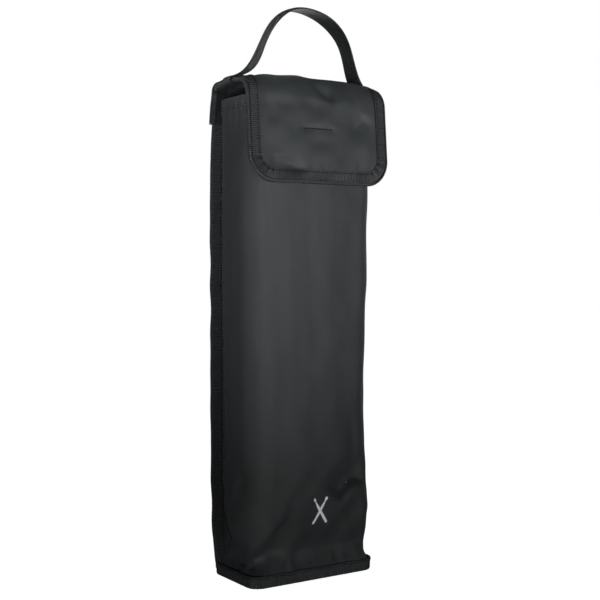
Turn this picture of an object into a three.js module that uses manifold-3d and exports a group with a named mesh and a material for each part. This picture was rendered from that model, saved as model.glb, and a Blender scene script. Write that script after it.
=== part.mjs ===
// A drum stick bag: a tall padded nylon sleeve that stands on its bound base, with a wrapped front and
// sides, a wider bound back panel that runs on over the mouth as a flap, and a webbing carry handle.
// Millimetres. X is the width, -Y the front and +Z up. All sizes below are measured from the centre of the
// base, on the floor; add() then moves each piece back, so that the origin is the middle of the whole box.
import * as THREE from 'three';
import { mergeVertices } from 'three/addons/utils/BufferGeometryUtils.js';
import Module from 'manifold-3d';

const wasm = await Module();
wasm.setup();

// How far the base's centre stands behind the origin.
const BASE_BACK = 4.8;

// Cloth layers.
const GAP = 0.3;
const SHELL = 0.8;
const FOAM = 2.2;
const LINING = 0.5;
const TAPE = 1.0;
const WEBBING = 1.6;
const THREAD = 0.6;
const PATCH = 1.8;

// The sleeve: front and sides are one wrapped panel, closed by the back panel.
const BODY_HALF_WIDTH = 61.5;
const FRONT_Y = -31.5;
const BACK_Y = 31;
const CORNER_RADIUS = 9;
const MOUTH_Z = 417;
const HEM_HEIGHT = 11;
const BACK_TOP_Z = 424.5;
const BACK_PANEL_TOP_Z = 428;

// The bound seams along the back edges and the bound ring that the bag stands on.
const FLANGE_HALF_WIDTH = 66.7;
const SEAM_INNER_X = 61.8;
const RING_HEIGHT = 11;
const FLOOR_Z = 11.4;
const RING_PROUD = 2.3;
const BOARD = 2;

// The flap: its outer face runs flat to a round fold, and then hangs as a leaf that leans forward.
const FLAP_HALF_WIDTH = 70;
const FLAP_BACK_Y = 30;
const FLAP_TOP_Z = 429.5;
const FOLD_RADIUS = 16;
const FOLD_Y = -21;
const FOLD_Z = FLAP_TOP_Z - FOLD_RADIUS;
const FOLD_START = Math.PI / 2;
const LEAN = THREE.MathUtils.degToRad(4.5);
const FOLD_END = Math.PI - LEAN;
const FOLD_SPLIT = THREE.MathUtils.degToRad(132);
const SPLIT_ANGLE = 0.02;
const LEAF_LENGTH = 70;
const LEAF_CORNER = 22;
const BINDING_WIDTH = 10;
const CROWN = 8;
const CROWN_LOW_Z = 417;
const CROWN_HIGH_Z = 431;
const CROWN_HALF_WIDTH = 71.5;
const CROWN_POWER = 3;
const CROWN_BACK_SHARE = 0.4;

// The carry handle.
const HANDLE_WIDTH = 20;
const HANDLE_END_Z = 397;
const TACK_INSET = 3;
const HANDLE_SPLIT_Z = 438.5;
const HANDLE_NECK = 2;
const HANDLE_NECK_RISE = 19;
const HANDLE_LINE = [
  [-66, 433.7], [-60, 435.4], [-54, 437.4], [-47, 442], [-38, 456], [-28, 476], [-12, 492],
  [6, 498], [26, 496], [44, 487], [55, 470], [60, 452], [64.5, 441], [66.5, 433.8],
];
const HANDLE_SAMPLES = 40;

// Fastenings and the print.
const PATCH_HALF_WIDTH = 15;
const PATCH_HEIGHT = 20;
const PATCH_TOP_Z = 392;
const LOOP_MARGIN = 3;
const LOOP_EXTRA = 5;
const LOOP_STITCH_INSET = 1;
const STITCH_INSET = 1.6;
const MARK_CENTRE_X = 3;
const MARK_CENTRE_Z = 61;
const MARK_LENGTH = 27;
const MARK_TILT = THREE.MathUtils.degToRad(32);
const MARK_PRINT = 0.2;

const CURVE_SEGMENTS = 6;
const CROSS_STEPS = 20;
const SIDE_STEPS = 3;
const FLAT_STEPS = 4;

const NYLON = { color: 0x262b2d, roughness: 0.55, metalness: 0 };
const TAPE_LOOK = { color: 0x1f2426, roughness: 0.75, metalness: 0 };
const LINING_LOOK = { color: 0x17191b, roughness: 0.8, metalness: 0 };
const THREAD_LOOK = { color: 0x101213, roughness: 0.6, metalness: 0 };
const FOAM_LOOK = { color: 0x6a6d70, roughness: 0.95, metalness: 0 };
const BOARD_LOOK = { color: 0x4a4640, roughness: 0.9, metalness: 0 };
const PATCH_LOOK = { color: 0x121415, roughness: 0.95, metalness: 0 };
const PRINT_LOOK = { color: 0xc9cdcf, roughness: 0.6, metalness: 0 };

const group = new THREE.Group();

function add(name, geometry, look) {
  const mesh = new THREE.Mesh(geometry.translate(0, BASE_BACK, 0), new THREE.MeshStandardMaterial(look));
  mesh.name = name;
  group.add(mesh);
}

// ---- Solids ----

function toSolid(geometry) {
  const bare = geometry.clone();
  bare.deleteAttribute('normal');
  bare.deleteAttribute('uv');
  const merged = mergeVertices(bare, 1e-5);
  const vertProperties = new Float32Array(merged.attributes.position.array);
  const triVerts = new Uint32Array(merged.index.array);
  return new wasm.Manifold(new wasm.Mesh({ numProp: 3, vertProperties, triVerts }));
}

function toGeometry(solid) {
  const mesh = solid.getMesh();
  const geometry = new THREE.BufferGeometry();
  geometry.setAttribute('position', new THREE.BufferAttribute(mesh.vertProperties, 3));
  geometry.setIndex(new THREE.BufferAttribute(mesh.triVerts, 1));
  return geometry;
}

function cut(geometry, ...tools) {
  let solid = toSolid(geometry);
  for (const tool of tools) solid = solid.subtract(toSolid(tool));
  return toGeometry(solid);
}

function common(first, second) {
  return toGeometry(toSolid(first).intersect(toSolid(second)));
}

function join(first, second) {
  return toGeometry(toSolid(first).add(toSolid(second)));
}

// A plan outline raised from lowZ to highZ.
function raise(shape, lowZ, highZ) {
  const options = { depth: highZ - lowZ, bevelEnabled: false, curveSegments: CURVE_SEGMENTS };
  return new THREE.ExtrudeGeometry(shape, options).translate(0, 0, lowZ);
}

// A front-view outline (x, z) made thick from frontY back to backY.
function slab(shape, frontY, backY) {
  const options = { depth: backY - frontY, bevelEnabled: false, curveSegments: CURVE_SEGMENTS };
  return new THREE.ExtrudeGeometry(shape, options).rotateX(Math.PI / 2).translate(0, backY, 0);
}

// A side-view outline (y, z) run across the bag from lowX to highX.
function across(shape, lowX, highX, steps = CROSS_STEPS) {
  const options = { depth: highX - lowX, steps, bevelEnabled: false, curveSegments: CURVE_SEGMENTS };
  const geometry = new THREE.ExtrudeGeometry(shape, options);
  const turn = new THREE.Matrix4().makeBasis(
    new THREE.Vector3(0, 1, 0),
    new THREE.Vector3(0, 0, 1),
    new THREE.Vector3(1, 0, 0),
  );
  return geometry.applyMatrix4(turn).translate(lowX, 0, 0);
}

function block(lowX, highX, lowY, highY, lowZ, highZ) {
  const box = new THREE.BoxGeometry(highX - lowX, highY - lowY, highZ - lowZ);
  return box.translate((lowX + highX) / 2, (lowY + highY) / 2, (lowZ + highZ) / 2);
}

// The flap and the back's top edge are higher in the middle of their width.
function crownRise(x) {
  return CROWN * (1 - Math.min(1, Math.abs(x) / CROWN_HALF_WIDTH) ** CROWN_POWER);
}

// Raises a piece of the flap by the crown, which fades out below the fold and is lower at the back.
function crown(geometry) {
  const position = geometry.attributes.position;
  for (let i = 0; i < position.count; i += 1) {
    const down = THREE.MathUtils.smoothstep(position.getZ(i), CROWN_LOW_Z, CROWN_HIGH_Z);
    const back01 = (position.getY(i) - FOLD_Y) / (FLAP_BACK_Y - FOLD_Y);
    const back = THREE.MathUtils.lerp(1, CROWN_BACK_SHARE, THREE.MathUtils.clamp(back01, 0, 1));
    position.setZ(i, position.getZ(i) + crownRise(position.getX(i)) * down * back);
  }
  return geometry;
}

// ---- Outlines ----

// A band `thick` wide that goes down one side, round the front and up the other side, open to the back.
function wrapShape(inset, thick, backY, flange = 0) {
  const half = BODY_HALF_WIDTH - inset;
  const front = FRONT_Y + inset;
  const radius = CORNER_RADIUS - inset;
  const centreX = half - radius;
  const centreY = front + radius;
  const shape = new THREE.Shape();
  if (flange > 0) {
    shape.moveTo(flange, backY);
    shape.lineTo(flange, backY - thick);
    shape.lineTo(half, backY - thick);
  } else {
    shape.moveTo(half, backY);
  }
  shape.lineTo(half, centreY);
  shape.absarc(centreX, centreY, radius, 0, -Math.PI / 2, true);
  shape.lineTo(-centreX, front);
  shape.absarc(-centreX, centreY, radius, -Math.PI / 2, -Math.PI, true);
  if (flange > 0) {
    shape.lineTo(-half, backY - thick);
    shape.lineTo(-flange, backY - thick);
    shape.lineTo(-flange, backY);
  } else {
    shape.lineTo(-half, backY);
  }
  shape.lineTo(-half + thick, backY);
  shape.lineTo(-half + thick, centreY);
  shape.absarc(-centreX, centreY, radius - thick, Math.PI, Math.PI * 1.5, false);
  shape.lineTo(centreX, front + thick);
  shape.absarc(centreX, centreY, radius - thick, -Math.PI / 2, 0, false);
  shape.lineTo(half - thick, backY);
  shape.closePath();
  return shape;
}

// The base's outline, grown by `grow` from the sleeve's outer face.
function baseShape(grow) {
  const half = BODY_HALF_WIDTH + grow;
  const front = FRONT_Y - grow;
  const back = BACK_Y + grow;
  const radius = CORNER_RADIUS + grow;
  const shape = new THREE.Shape();
  shape.moveTo(half, front + radius);
  shape.lineTo(half, back - radius);
  shape.absarc(half - radius, back - radius, radius, 0, Math.PI / 2, false);
  shape.lineTo(-half + radius, back);
  shape.absarc(-half + radius, back - radius, radius, Math.PI / 2, Math.PI, false);
  shape.lineTo(-half, front + radius);
  shape.absarc(-half + radius, front + radius, radius, Math.PI, Math.PI * 1.5, false);
  shape.lineTo(half - radius, front);
  shape.absarc(half - radius, front + radius, radius, -Math.PI / 2, 0, false);
  return shape;
}

function baseRing(outerGrow, innerGrow, lowZ, highZ) {
  const shape = baseShape(outerGrow);
  shape.holes.push(baseShape(innerGrow));
  return raise(shape, lowZ, highZ);
}

// The leaf's front view: straight sides, round lower corners, square at the top.
function leafShape(inset, topZ) {
  const half = FLAP_HALF_WIDTH - inset;
  const low = leafLowZ() + inset;
  const radius = LEAF_CORNER - inset;
  const shape = new THREE.Shape();
  shape.moveTo(half, topZ);
  shape.lineTo(-half, topZ);
  shape.lineTo(-half, low + radius);
  shape.absarc(-half + radius, low + radius, radius, Math.PI, Math.PI * 1.5, false);
  shape.lineTo(half - radius, low);
  shape.absarc(half - radius, low + radius, radius, -Math.PI / 2, 0, false);
  shape.closePath();
  return shape;
}

// A C-shaped tape section: open on its inner side, closed on its outer side.
function tapeSection(innerX, outerX, low, high, thick) {
  const shape = new THREE.Shape();
  shape.moveTo(innerX, low);
  shape.lineTo(outerX, low);
  shape.lineTo(outerX, high);
  shape.lineTo(innerX, high);
  shape.lineTo(innerX, high - thick);
  shape.lineTo(outerX - thick, high - thick);
  shape.lineTo(outerX - thick, low + thick);
  shape.lineTo(innerX, low + thick);
  shape.closePath();
  return shape;
}

function mirrored(geometry) {
  return toGeometry(toSolid(geometry).mirror([1, 0, 0]));
}

// ---- The flap's side curve ----

// A point of the fold, `depth` inward from the flap's outer face.
function foldPoint(turn, depth) {
  const radius = FOLD_RADIUS - depth;
  return new THREE.Vector2(FOLD_Y + radius * Math.cos(turn), FOLD_Z + radius * Math.sin(turn));
}

// A point of the hanging leaf, `run` below the end of the fold.
function leafPoint(run, depth) {
  const along = new THREE.Vector2(-Math.sin(LEAN), -Math.cos(LEAN));
  return foldPoint(FOLD_END, depth).addScaledVector(along, run);
}

function leafLowZ() {
  return leafPoint(LEAF_LENGTH, 0).y;
}

function foldArc(fromTurn, toTurn, depth) {
  const points = [];
  for (let i = 0; i <= CURVE_SEGMENTS; i += 1) {
    const turn = THREE.MathUtils.lerp(fromTurn, toTurn, i / CURVE_SEGMENTS);
    points.push(foldPoint(turn, depth));
  }
  return points;
}

// The flap's top, from its back edge to just short of the split in the fold.
// `extra` carries it on at both ends.
function topSide(depth, extra = 0) {
  const flat = [];
  for (let i = 0; i < FLAT_STEPS; i += 1) {
    const y = THREE.MathUtils.lerp(FLAP_BACK_Y + extra, FOLD_Y, i / FLAT_STEPS);
    flat.push(new THREE.Vector2(y, FLAP_TOP_Z - depth));
  }
  const endTurn = FOLD_SPLIT - SPLIT_ANGLE + extra / FOLD_RADIUS;
  return [...flat, ...foldArc(FOLD_START, endTurn, depth)];
}

// The flap's leaf, from just past the split to `length` below the fold.
function frontSide(depth, length, extra = 0) {
  const startTurn = FOLD_SPLIT + SPLIT_ANGLE - extra / FOLD_RADIUS;
  return [...foldArc(startTurn, FOLD_END, depth), leafPoint(length, depth)];
}

function bandShape(side, outerDepth, innerDepth) {
  return new THREE.Shape([...side(outerDepth), ...side(innerDepth).reverse()]);
}

// ---- The sleeve ----

function makeFrontWrap() {
  const backY = BACK_Y - SHELL - GAP;
  const wrap = raise(wrapShape(0, SHELL, backY, FLANGE_HALF_WIDTH), TAPE + GAP, MOUTH_Z);
  const seamEndY = BACK_Y - CORNER_RADIUS - GAP;
  const clear = BODY_HALF_WIDTH + CORNER_RADIUS;
  const belowFlange = block(-clear, clear, seamEndY, BACK_Y, 0, RING_HEIGHT + GAP);
  add('front_wrap', cut(wrap, belowFlange), NYLON);
}

function makeSideLayers() {
  const foamInset = SHELL + GAP;
  const liningInset = foamInset + FOAM + GAP;
  const layersTop = MOUTH_Z - HEM_HEIGHT - 2 * GAP;
  const foamBackY = BACK_Y - SHELL - GAP - FOAM - GAP;
  const hemThick = 1.2;
  add('mouth_hem', raise(wrapShape(foamInset, hemThick, foamBackY), layersTop + GAP, MOUTH_Z - GAP), NYLON);
  add('front_foam', raise(wrapShape(foamInset, FOAM, foamBackY), FLOOR_Z, layersTop), FOAM_LOOK);
  const lining = wrapShape(liningInset, LINING, foamBackY - SHELL);
  add('front_lining', raise(lining, FLOOR_Z, layersTop), LINING_LOOK);
}

// The back panel's top edge follows the flap's crown.
function backPanelShape() {
  const tongueHalf = BODY_HALF_WIDTH - CORNER_RADIUS - 1;
  const topEdge = [];
  for (let i = 0; i <= CROSS_STEPS; i += 1) {
    const x = THREE.MathUtils.lerp(FLANGE_HALF_WIDTH, -FLANGE_HALF_WIDTH, i / CROSS_STEPS);
    topEdge.push(new THREE.Vector2(x, BACK_PANEL_TOP_Z + crownRise(x) * CROWN_BACK_SHARE));
  }
  return new THREE.Shape([
    new THREE.Vector2(-tongueHalf, TAPE + GAP),
    new THREE.Vector2(tongueHalf, TAPE + GAP),
    new THREE.Vector2(tongueHalf, FLOOR_Z),
    new THREE.Vector2(FLANGE_HALF_WIDTH, FLOOR_Z),
    ...topEdge,
    new THREE.Vector2(-FLANGE_HALF_WIDTH, FLOOR_Z),
    new THREE.Vector2(-tongueHalf, FLOOR_Z),
  ]);
}

function makeBack() {
  add('back_panel', slab(backPanelShape(), BACK_Y - SHELL, BACK_Y), NYLON);
  const foamBack = BACK_Y - SHELL - GAP;
  const foamHalf = BODY_HALF_WIDTH - SHELL - GAP;
  add('back_foam', block(-foamHalf, foamHalf, foamBack - FOAM, foamBack, FLOOR_Z, BACK_TOP_Z), FOAM_LOOK);
  const liningBack = foamBack - FOAM - GAP;
  const liningHalf = foamHalf - FOAM - GAP;
  const lining = block(-liningHalf, liningHalf, liningBack - LINING, liningBack, FLOOR_Z, BACK_TOP_Z);
  add('back_lining', lining, LINING_LOOK);
}

function makeBase() {
  const ringInner = -SHELL - GAP - SHELL - GAP - TAPE;
  const ring = baseRing(RING_PROUD, ringInner, 0, RING_HEIGHT);
  const groove = baseRing(GAP, ringInner + TAPE, TAPE, RING_HEIGHT + 1);
  const innerLegTop = baseRing(-SHELL - GAP, ringInner - 1, RING_HEIGHT - TAPE, RING_HEIGHT + 1);
  add('bottom_binding', cut(ring, groove, innerLegTop), TAPE_LOOK);

  const panelInset = -SHELL - GAP;
  const trayTop = RING_HEIGHT - TAPE + GAP;
  const tray = raise(baseShape(panelInset), TAPE + GAP, trayTop + SHELL);
  const under = raise(baseShape(panelInset - SHELL), 0, trayTop);
  add('bottom_panel', cut(tray, under), NYLON);

  const boardInset = panelInset - FOAM - GAP - LINING - GAP;
  const board = raise(baseShape(boardInset), FLOOR_Z, FLOOR_Z + BOARD);
  const cloth = raise(baseShape(boardInset), FLOOR_Z + BOARD + GAP, FLOOR_Z + BOARD + GAP + LINING);
  add('bottom_stiffener', board, BOARD_LOOK);
  add('bottom_lining', cloth, LINING_LOOK);
  const threadInner = RING_PROUD + GAP;
  const threadZ = RING_HEIGHT - STITCH_INSET;
  add('bottom_seam_thread', baseRing(threadInner + GAP, threadInner, threadZ - THREAD, threadZ), THREAD_LOOK);
}

// The taped flange on one back edge, with its stitch line and the handle's sewn-down end.
function makeBackSeam(side, place) {
  const stackFront = BACK_Y - SHELL - GAP - SHELL;
  const tapeFront = stackFront - GAP - TAPE;
  const tapeBack = BACK_Y + GAP + TAPE;
  const tapeOuter = FLANGE_HALF_WIDTH + GAP + TAPE;
  const tape = tapeSection(SEAM_INNER_X, tapeOuter, tapeFront, tapeBack, TAPE);
  add(`${side}_seam_binding`, place(raise(tape, FLOOR_Z, BACK_TOP_Z)), TAPE_LOOK);

  const threadX = SEAM_INNER_X + STITCH_INSET;
  const threadBack = tapeFront - GAP;
  const threadTop = HANDLE_END_Z - 1;
  const thread = block(threadX - THREAD, threadX, threadBack - GAP, threadBack, FLOOR_Z + 1, threadTop);
  add(`${side}_seam_thread`, place(thread), THREAD_LOOK);

  const endFront = tapeFront - GAP - WEBBING;
  const endBack = tapeBack + GAP + WEBBING;
  const endOuter = tapeOuter + GAP + WEBBING;
  const end = tapeSection(SEAM_INNER_X + GAP, endOuter, endFront, endBack, WEBBING);
  add(`handle_end_${side}`, place(raise(end, HANDLE_END_Z, BACK_TOP_Z)), TAPE_LOOK);

  const tackZ = HANDLE_END_Z + TACK_INSET;
  const tackFront = endFront - GAP;
  const tack = block(SEAM_INNER_X + 1, endOuter - 1, tackFront - GAP, tackFront, tackZ, tackZ + THREAD);
  add(`handle_tack_${side}`, place(tack), THREAD_LOOK);
}

function makeHemThread() {
  const outset = -2 * GAP;
  const backY = BACK_Y - BINDING_WIDTH;
  const lowZ = MOUTH_Z - HEM_HEIGHT;
  add('hem_thread', raise(wrapShape(outset, GAP, backY), lowZ, lowZ + THREAD), THREAD_LOOK);
}

// ---- The flap ----

const TAPE_OUT = GAP + TAPE;
const LAYERS_DEPTH = SHELL + GAP + LINING;
const TAPE_IN = LAYERS_DEPTH + GAP + TAPE;

function makeFlapTop() {
  const half = FLAP_HALF_WIDTH;
  add('flap_top_panel', crown(across(bandShape(topSide, 0, SHELL), -half, half)), NYLON);
  const lining = across(bandShape(topSide, SHELL + GAP, LAYERS_DEPTH), -half, half);
  add('flap_top_lining', crown(lining), LINING_LOOK);
}

// One side of the flap's top: its folded tape, and the handle's foot folded round the tape.
function makeFlapTopSide(side, place, arch) {
  const inner = FLAP_HALF_WIDTH - BINDING_WIDTH;
  const outer = FLAP_HALF_WIDTH + TAPE_OUT;
  const bent = (shape, lowX, highX) => crown(across(shape, lowX, highX, SIDE_STEPS));
  const longer = (depth) => topSide(depth, 1);
  const tape = bent(bandShape(topSide, -TAPE_OUT, TAPE_IN), inner, outer);
  const pocket = bent(bandShape(longer, -GAP, TAPE_IN - TAPE), inner - 1, outer - TAPE);
  add(`flap_top_binding_${side}`, place(cut(tape, pocket)), TAPE_LOOK);

  const footLow = FLAP_TOP_Z - TAPE_IN - GAP - WEBBING;
  const footHigh = FLAP_TOP_Z + TAPE_OUT + GAP + WEBBING;
  const footOuter = outer + GAP + WEBBING;
  const footBody = sideRectangle(-HANDLE_WIDTH / 2, FLAP_BACK_Y, footLow, footHigh);
  const footPocket = sideRectangle(-HANDLE_WIDTH, FLAP_BACK_Y + 1, footLow + WEBBING, footHigh - WEBBING);
  const foot = cut(bent(footBody, inner + GAP, footOuter), bent(footPocket, inner - 1, footOuter - WEBBING));
  add(`handle_foot_${side}`, join(place(foot), arch), TAPE_LOOK);
}

// A side-view rectangle with enough points along it to follow the crown.
function sideRectangle(frontY, backY, lowZ, highZ) {
  const row = (z) => Array.from({ length: FLAT_STEPS + 1 }, (_, i) => (
    new THREE.Vector2(THREE.MathUtils.lerp(frontY, backY, i / FLAT_STEPS), z)
  ));
  return new THREE.Shape([...row(lowZ), ...row(highZ).reverse()]);
}

function makeFlapFront() {
  const half = FLAP_HALF_WIDTH;
  const reachFront = FOLD_Y - FOLD_RADIUS - BINDING_WIDTH;
  const outline = (inset) => slab(leafShape(inset, FLAP_TOP_Z + 2 * CROWN), reachFront, FLAP_BACK_Y);
  const layer = (outerDepth, innerDepth, inset, extra = 0) => {
    const side = (depth) => frontSide(depth, LEAF_LENGTH + 2 * TAPE_OUT, extra);
    const reach = half - inset;
    return common(crown(across(bandShape(side, outerDepth, innerDepth), -reach, reach)), outline(inset));
  };
  add('flap_front_panel', layer(0, SHELL, 0), NYLON);
  add('flap_front_lining', layer(SHELL + GAP, LAYERS_DEPTH, 0), LINING_LOOK);
  const tape = layer(-TAPE_OUT, TAPE_IN, -TAPE_OUT);
  const pocket = layer(-GAP, TAPE_IN - TAPE, -GAP, 1);
  add('flap_front_binding', cut(tape, pocket, outline(BINDING_WIDTH)), TAPE_LOOK);

  const threadDepth = -TAPE_OUT - GAP;
  const band = layer(threadDepth - GAP, threadDepth, BINDING_WIDTH - STITCH_INSET - THREAD);
  const above = block(-half, half, reachFront - 1, FLAP_BACK_Y, leafPoint(0, 0).y, FLAP_TOP_Z + CROWN);
  const thread = cut(band, outline(BINDING_WIDTH - STITCH_INSET), above);
  add('flap_binding_thread', thread, THREAD_LOOK);
}

// ---- Hook and loop closure, print ----

function leafRunAt(z) {
  return (leafPoint(0, 0).y - z) / Math.cos(LEAN);
}

function leafStrip(topZ, lowZ, outerDepth, innerDepth) {
  const shape = new THREE.Shape([
    leafPoint(leafRunAt(topZ), outerDepth),
    leafPoint(leafRunAt(lowZ), outerDepth),
    leafPoint(leafRunAt(lowZ), innerDepth),
    leafPoint(leafRunAt(topZ), innerDepth),
  ]);
  return across(shape, -PATCH_HALF_WIDTH, PATCH_HALF_WIDTH, 1);
}

function makeClosure() {
  const hookOuter = LAYERS_DEPTH + GAP;
  const lowZ = PATCH_TOP_Z - PATCH_HEIGHT;
  add('hook_patch', leafStrip(PATCH_TOP_Z, lowZ, hookOuter, hookOuter + PATCH), PATCH_LOOK);
  const stitchTop = PATCH_TOP_Z - STITCH_INSET;
  add('hook_patch_thread', leafStrip(stitchTop, stitchTop - THREAD, -2 * GAP, -GAP), THREAD_LOOK);

  const loopBack = FRONT_Y - GAP;
  const loopHalf = PATCH_HALF_WIDTH + LOOP_MARGIN;
  const loopLow = lowZ - LOOP_EXTRA;
  const loopTop = PATCH_TOP_Z - 1;
  add('loop_patch', block(-loopHalf, loopHalf, loopBack - PATCH, loopBack, loopLow, loopTop), PATCH_LOOK);
  const stitchRectangle = (inset) => rectangle(loopHalf - inset, loopLow + inset, loopTop - inset);
  const frame = stitchRectangle(LOOP_STITCH_INSET);
  frame.holes.push(stitchRectangle(LOOP_STITCH_INSET + THREAD));
  const threadBack = loopBack - PATCH - GAP;
  add('loop_patch_thread', slab(frame, threadBack - GAP, threadBack), THREAD_LOOK);
}

function rectangle(half, lowZ, highZ) {
  return new THREE.Shape([
    new THREE.Vector2(-half, lowZ),
    new THREE.Vector2(half, lowZ),
    new THREE.Vector2(half, highZ),
    new THREE.Vector2(-half, highZ),
  ]);
}

// One drumstick: a straight shaft that narrows to a neck and ends in a small oval tip.
function stickShape() {
  const half = MARK_LENGTH / 2;
  const shaft = 1.1;
  const neck = 0.5;
  const tip = 1.2;
  const tipLength = 1.8;
  const tipCentre = half - tipLength;
  const tipStart = THREE.MathUtils.degToRad(155);
  const taperStart = half * 0.4;
  const shape = new THREE.Shape();
  shape.moveTo(-shaft, -half);
  shape.lineTo(shaft, -half);
  shape.lineTo(shaft, taperStart);
  shape.lineTo(neck, tipCentre - tipLength * Math.sin(tipStart - Math.PI / 2));
  shape.absellipse(0, tipCentre, tip, tipLength, tipStart - Math.PI, Math.PI - tipStart + Math.PI, false, 0);
  shape.lineTo(-neck, tipCentre - tipLength * Math.sin(tipStart - Math.PI / 2));
  shape.lineTo(-shaft, taperStart);
  shape.closePath();
  return shape;
}

function makeMark() {
  const printBack = FRONT_Y - GAP;
  const stick = (tilt) => raise(stickShape(), 0, MARK_PRINT)
    .rotateZ(tilt)
    .rotateX(Math.PI / 2)
    .translate(MARK_CENTRE_X, printBack, MARK_CENTRE_Z);
  add('printed_mark', join(stick(MARK_TILT), stick(-MARK_TILT)), PRINT_LOOK);
}

// ---- The handle ----

// The whole arch, as a strap bent in the X-Z plane.
function handleArch() {
  const line = new THREE.SplineCurve(HANDLE_LINE.map(([x, z]) => new THREE.Vector2(x, z)));
  const outer = [];
  const inner = [];
  for (let i = 0; i <= HANDLE_SAMPLES; i += 1) {
    const t = i / HANDLE_SAMPLES;
    const tangent = line.getTangentAt(t);
    const normal = new THREE.Vector2(-tangent.y, tangent.x);
    const point = line.getPointAt(t);
    outer.push(point.clone().addScaledVector(normal, WEBBING / 2));
    inner.push(point.clone().addScaledVector(normal, -WEBBING / 2));
  }
  const shape = new THREE.Shape([...inner, ...outer.reverse()]);
  return slab(shape, -HANDLE_WIDTH / 2, HANDLE_WIDTH / 2);
}

// The moving part of the strap narrows at each foot, where the webbing twists, to a neck with a round end
// that turns on the swing's axis.
function makeHandle(arch) {
  const high = HANDLE_SPLIT_Z + HANDLE_NECK_RISE;
  const top = high + CROWN_HALF_WIDTH;
  const half = HANDLE_WIDTH;
  const profile = new THREE.Shape();
  profile.absarc(0, HANDLE_SPLIT_Z, HANDLE_NECK, Math.PI, 2 * Math.PI, false);
  profile.lineTo(half / 2, high);
  profile.lineTo(half, top);
  profile.lineTo(-half, top);
  profile.lineTo(-half / 2, high);
  profile.closePath();
  const strap = common(arch, across(profile, -CROWN_HALF_WIDTH, CROWN_HALF_WIDTH, 1));
  add('handle_webbing', strap, TAPE_LOOK);
}

// The short stretch of strap that stays on the flap, below the neck's round end.
function archFoot(arch, lowX, highX) {
  const footTop = HANDLE_SPLIT_Z - HANDLE_NECK - GAP;
  const foot = block(lowX, highX, -HANDLE_WIDTH, HANDLE_WIDTH, FLAP_TOP_Z, footTop);
  return common(arch, foot);
}

const keep = (geometry) => geometry;
const arch = handleArch();

makeBack();
makeFrontWrap();
makeSideLayers();
makeBase();
makeBackSeam('left', mirrored);
makeBackSeam('right', keep);
makeHemThread();
makeFlapTop();
makeFlapTopSide('left', mirrored, archFoot(arch, -CROWN_HALF_WIDTH, 0));
makeFlapTopSide('right', keep, archFoot(arch, 0, CROWN_HALF_WIDTH));
makeFlapFront();
makeClosure();
makeMark();
makeHandle(arch);

export default group;
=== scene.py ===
"""The looks of a drum stick bag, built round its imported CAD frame.

Every soft piece of the frame is replaced by cloth, ribbed tape or webbing with folds, puckers and stitches.
Shapes are worked out in millimetres from the centre of the bag's base, and make_piece() moves them into
the frame.
"""
import math

import bmesh
import bpy
import numpy as np
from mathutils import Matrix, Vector


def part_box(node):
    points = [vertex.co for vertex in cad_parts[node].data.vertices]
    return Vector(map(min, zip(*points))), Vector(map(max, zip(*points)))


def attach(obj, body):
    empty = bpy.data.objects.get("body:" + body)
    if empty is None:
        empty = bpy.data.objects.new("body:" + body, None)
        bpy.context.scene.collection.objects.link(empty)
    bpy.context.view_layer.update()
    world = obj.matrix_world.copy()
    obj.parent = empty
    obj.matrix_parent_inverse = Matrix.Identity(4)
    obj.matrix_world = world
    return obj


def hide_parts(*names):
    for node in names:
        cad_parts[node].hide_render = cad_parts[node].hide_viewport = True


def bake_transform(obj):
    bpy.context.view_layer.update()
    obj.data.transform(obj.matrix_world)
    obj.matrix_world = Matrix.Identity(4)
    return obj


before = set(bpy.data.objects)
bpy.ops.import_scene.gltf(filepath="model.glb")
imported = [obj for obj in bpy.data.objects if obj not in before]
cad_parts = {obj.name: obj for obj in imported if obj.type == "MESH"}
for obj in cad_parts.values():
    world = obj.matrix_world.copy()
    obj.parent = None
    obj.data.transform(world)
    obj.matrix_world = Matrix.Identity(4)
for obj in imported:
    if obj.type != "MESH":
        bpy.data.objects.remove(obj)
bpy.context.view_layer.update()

MM = 0.001

# ---- Places, read from the frame ----

FRONT_Y = -31.5
BASE = Vector((0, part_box("front_wrap")[0].y - FRONT_Y * MM, 0))


def reach(node):
    """A CAD node's lowest and highest corners, in mm from the base's centre."""
    return [np.array(corner - BASE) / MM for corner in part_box(node)]


MOUTH_Z = reach("front_wrap")[1][2]
HEM_LOW_Z = reach("mouth_hem")[0][2]
HALF_WIDTH = reach("front_foam")[1][0] + 1.1
BACK_Y = reach("back_panel")[1][1]
RING_LOW, RING_HIGH = reach("bottom_binding")
SEAM_OUT_X = reach("right_seam_binding")[1][0]
STRAP_END_Z = reach("handle_end_right")[0][2]
LOOP_LOW, LOOP_HIGH = reach("loop_patch")
HOOK_LOW, HOOK_HIGH = reach("hook_patch")
HOOK_STITCH_Z = reach("hook_patch_thread")[1][2]
MARK_LOW, MARK_HIGH = reach("printed_mark")

# ---- Cloth thicknesses and sizes ----

SHELL = 0.8
PAD_DEPTHS = (1.1, 3.2)
LINING_DEPTHS = (3.6, 4.1)
TAPE = 0.75
TAPE_WIDTH = 10
TAPE_GAP = 0.12
# Half the cloth that a tape holds between its legs, at the seams and at the base.
SEAM_STACK = 0.95
BASE_STACK = 0.8
SHEET_THICK = 1.5
WEBBING = 1.5
STRAP_HALF = 10
RIB_PITCH = 1.6
RIB_STEP = 0.4
RIB_HEIGHT = 0.42
HOOK_PITCH = 1.5
STITCH_PITCH = 3.0
STITCH_SIDES = 6
# The rings of points of one stitch: share of its length, share of its radius, and its rise in radii.
STITCH_RINGS = (
    (0.0, 0.35, -0.25), (0.12, 0.9, 0.25), (0.5, 1.0, 0.5), (0.88, 0.9, 0.25), (1.0, 0.35, -0.25),
)
# A folded tape has this many steps along each leg and round its fold.
FOLD_STEPS = 6

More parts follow.
